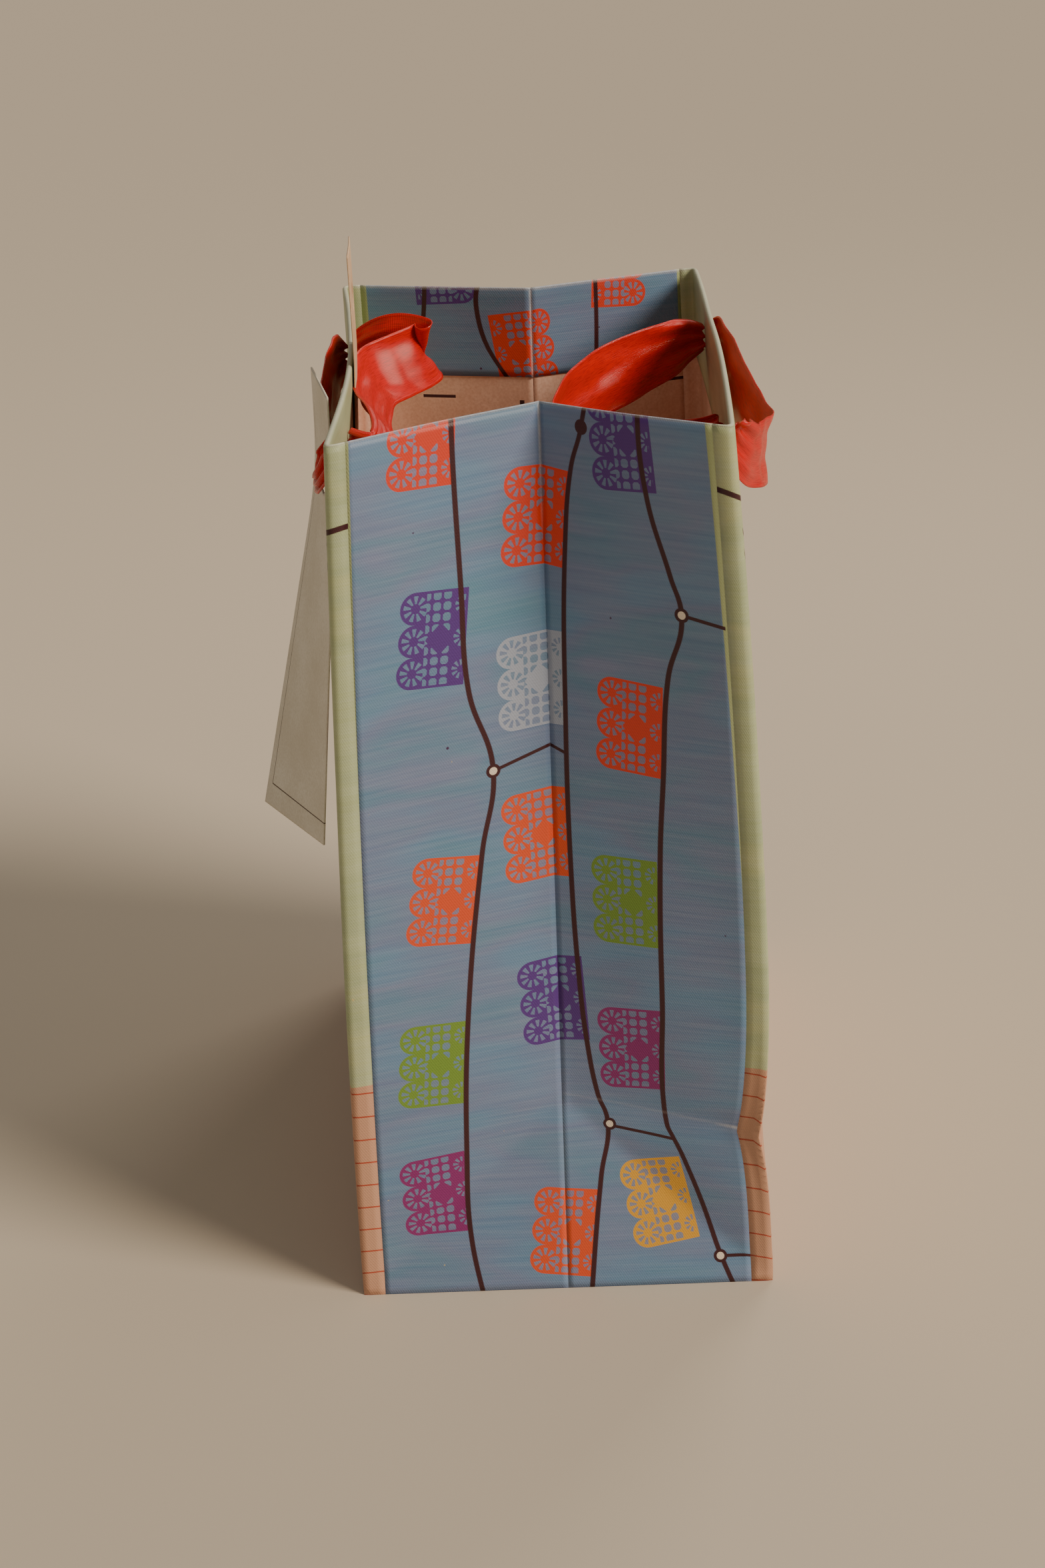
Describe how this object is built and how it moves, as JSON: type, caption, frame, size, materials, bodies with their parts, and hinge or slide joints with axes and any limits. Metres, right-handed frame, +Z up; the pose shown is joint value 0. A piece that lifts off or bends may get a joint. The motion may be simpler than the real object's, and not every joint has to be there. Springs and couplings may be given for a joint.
{
  "type": "wine gift bag",
  "caption": "Paper gift bag with creased gussets, a turned-in carded rim, satin ribbon handles through punched holes, a threaded hang tag, a peg tab and a base card.",
  "frame": {"origin": "centre of the base, on the surface the bag stands on", "axes": "+Z up; -X front wall with the tag, +X back wall; -Y near gusset, +Y far gusset"},
  "size_m": [0.1605, 0.19, 0.285],
  "materials": {
    "printed_paper": "coated, faint twill emboss",
    "plain_paper": "uncoated",
    "grey_card": "uncoated",
    "red_satin": "satin",
    "tag_card": "coated",
    "peg_card": "coated"
  },
  "bodies": {
    "base": {"base_back_flap": "plain_paper", "base_front_flap": "plain_paper", "base_near_flap": "plain_paper", "base_far_flap": "plain_paper", "base_card": "grey_card"},
    "front_wall": {"front_panel": "printed_paper", "front_rim_card": "grey_card", "front_rim_turn_in": "printed_paper", "front_ribbon_necks": "red_satin", "peg_tab": "peg_card"},
    "back_wall": {"back_panel": "printed_paper", "back_rim_card": "grey_card", "back_rim_turn_in": "printed_paper", "back_ribbon_necks": "red_satin"},
    "near_gusset_front": {"near_gusset_front_half": "printed_paper", "near_gusset_front_turn_in": "printed_paper"},
    "near_gusset_back": {"near_gusset_back_half": "printed_paper", "near_gusset_back_turn_in": "printed_paper", "side_seam_flap": "plain_paper"},
    "far_gusset_front": {"far_gusset_front_half": "printed_paper", "far_gusset_front_turn_in": "printed_paper"},
    "far_gusset_back": {"far_gusset_back_half": "printed_paper", "far_gusset_back_turn_in": "printed_paper"},
    "front_loop_outer": {"front_ribbon_outer": "red_satin"},
    "front_loop_inner": {"front_ribbon_inner": "red_satin"},
    "back_loop_outer": {"back_ribbon_outer": "red_satin"},
    "back_loop_inner": {"back_ribbon_inner": "red_satin"},
    "tag": {"hang_tag": "tag_card"}
  },
  "joints": [
    {"name": "front_wall_fold", "type": "hinge", "parent": "base", "child": "front_wall", "pos_m": [-0.06, 0, 0], "axis": [0, 1, 0], "range_deg": [0, 8]},
    {"name": "back_wall_fold", "type": "hinge", "parent": "base", "child": "back_wall", "pos_m": [0.06, 0, 0], "axis": [0, -1, 0], "range_deg": [0, 8]},
    {"name": "front_loop_outer_swing", "type": "hinge", "parent": "front_wall", "child": "front_loop_outer", "pos_m": [-0.05656, 0, 0.241], "axis": [0, 1, 0], "range_deg": [0, 130], "deforming": ["front_ribbon_outer"]},
    {"name": "tag_swing", "type": "hinge", "parent": "front_loop_outer", "child": "tag", "pos_m": [-0.06679, -0.014, 0.22241], "axis": [0, 1, 0], "range_deg": [-130, 0]},
    {"name": "front_loop_inner_swing", "type": "hinge", "parent": "front_wall", "child": "front_loop_inner", "pos_m": [-0.04975, 0, 0.241], "axis": [0, -1, 0], "range_deg": [0, 90], "deforming": ["front_ribbon_inner"]},
    {"name": "back_loop_outer_swing", "type": "hinge", "parent": "back_wall", "child": "back_loop_outer", "pos_m": [0.05656, 0, 0.241], "axis": [0, -1, 0], "range_deg": [0, 130], "deforming": ["back_ribbon_outer"]},
    {"name": "back_loop_inner_swing", "type": "hinge", "parent": "back_wall", "child": "back_loop_inner", "pos_m": [0.04975, 0, 0.241], "axis": [0, 1, 0], "range_deg": [0, 90], "deforming": ["back_ribbon_inner"]},
    {"name": "near_gusset_front_fold", "type": "hinge", "parent": "front_wall", "child": "near_gusset_front", "pos_m": [-0.06, -0.095, 0], "axis": [-0.5727, -0.8188, -0.0401], "range_deg": [0, 10.26], "deforming": ["near_gusset_front_half", "near_gusset_front_turn_in"]},
    {"name": "near_gusset_back_fold", "type": "hinge", "parent": "back_wall", "child": "near_gusset_back", "pos_m": [0.06, -0.095, 0], "axis": [-0.5727, 0.8188, 0.0401], "range_deg": [0, 10.26], "deforming": ["near_gusset_back_half", "near_gusset_back_turn_in", "side_seam_flap"]},
    {"name": "far_gusset_front_fold", "type": "hinge", "parent": "front_wall", "child": "far_gusset_front", "pos_m": [-0.06, 0.095, 0], "axis": [0.7149, -0.6974, 0.05], "range_deg": [0, 11.95], "deforming": ["far_gusset_front_half", "far_gusset_front_turn_in"]},
    {"name": "far_gusset_back_fold", "type": "hinge", "parent": "back_wall", "child": "far_gusset_back", "pos_m": [0.06, 0.095, 0], "axis": [0.7149, 0.6974, -0.05], "range_deg": [0, 11.95], "deforming": ["far_gusset_back_half", "far_gusset_back_turn_in"]}
  ],
  "couplings": [
    {"joint": "back_wall_fold", "follows": "front_wall_fold", "ratio": 1},
    {"joint": "tag_swing", "follows": "front_loop_outer_swing", "ratio": -1},
    {"joint": "near_gusset_front_fold", "follows": "front_wall_fold", "ratio": 1.2203},
    {"joint": "near_gusset_back_fold", "follows": "front_wall_fold", "ratio": 1.2203},
    {"joint": "far_gusset_front_fold", "follows": "front_wall_fold", "ratio": 1.4314},
    {"joint": "far_gusset_back_fold", "follows": "front_wall_fold", "ratio": 1.4314}
  ]
}
